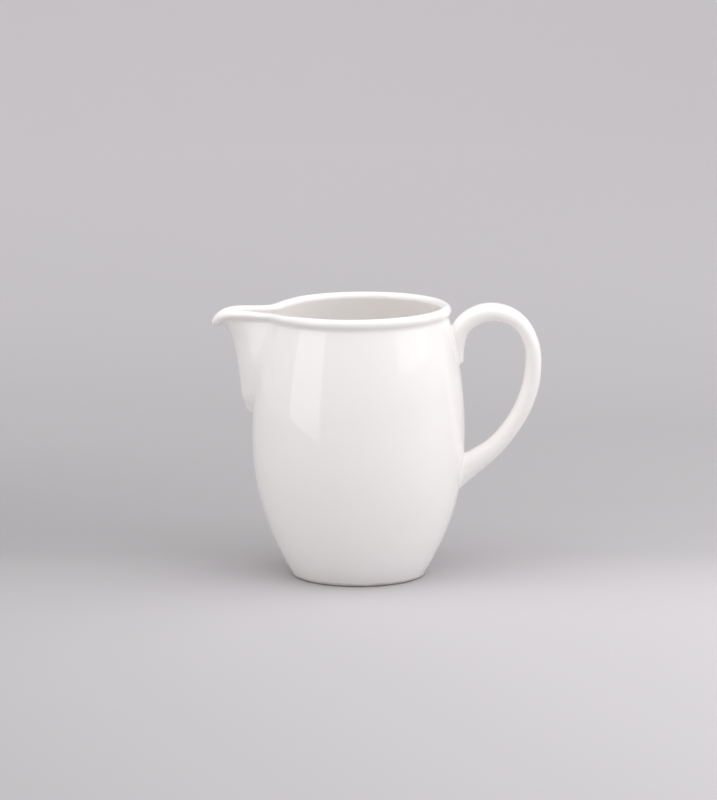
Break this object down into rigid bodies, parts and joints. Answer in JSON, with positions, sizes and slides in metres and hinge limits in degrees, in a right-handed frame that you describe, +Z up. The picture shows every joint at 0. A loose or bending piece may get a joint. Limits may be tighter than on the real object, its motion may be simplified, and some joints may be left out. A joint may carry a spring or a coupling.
{
  "type": "cream jug",
  "caption": "Barrel-shaped porcelain cream jug with a rolled rim, a drawn-down pouring beak and a tall loop handle.",
  "frame": {"origin": "centre of the standing ring, on the plane of the table", "axes": "+Z up along the jug's axis, -X towards the spout, +X towards the handle, Y across"},
  "size_m": [0.1214, 0.0779, 0.1012],
  "materials": {
    "glazed_porcelain": "clear gloss glaze over a warm white body, fired",
    "biscuit_porcelain": "unglazed, ground smooth, matt"
  },
  "bodies": {
    "root": {"body": "glazed_porcelain", "rolled_rim": "glazed_porcelain", "spout": "glazed_porcelain", "handle": "glazed_porcelain", "spout_slip_joint": "glazed_porcelain", "upper_handle_slip_joint": "glazed_porcelain", "lower_handle_slip_joint": "glazed_porcelain", "standing_ring": "biscuit_porcelain"}
  },
  "joints": []
}
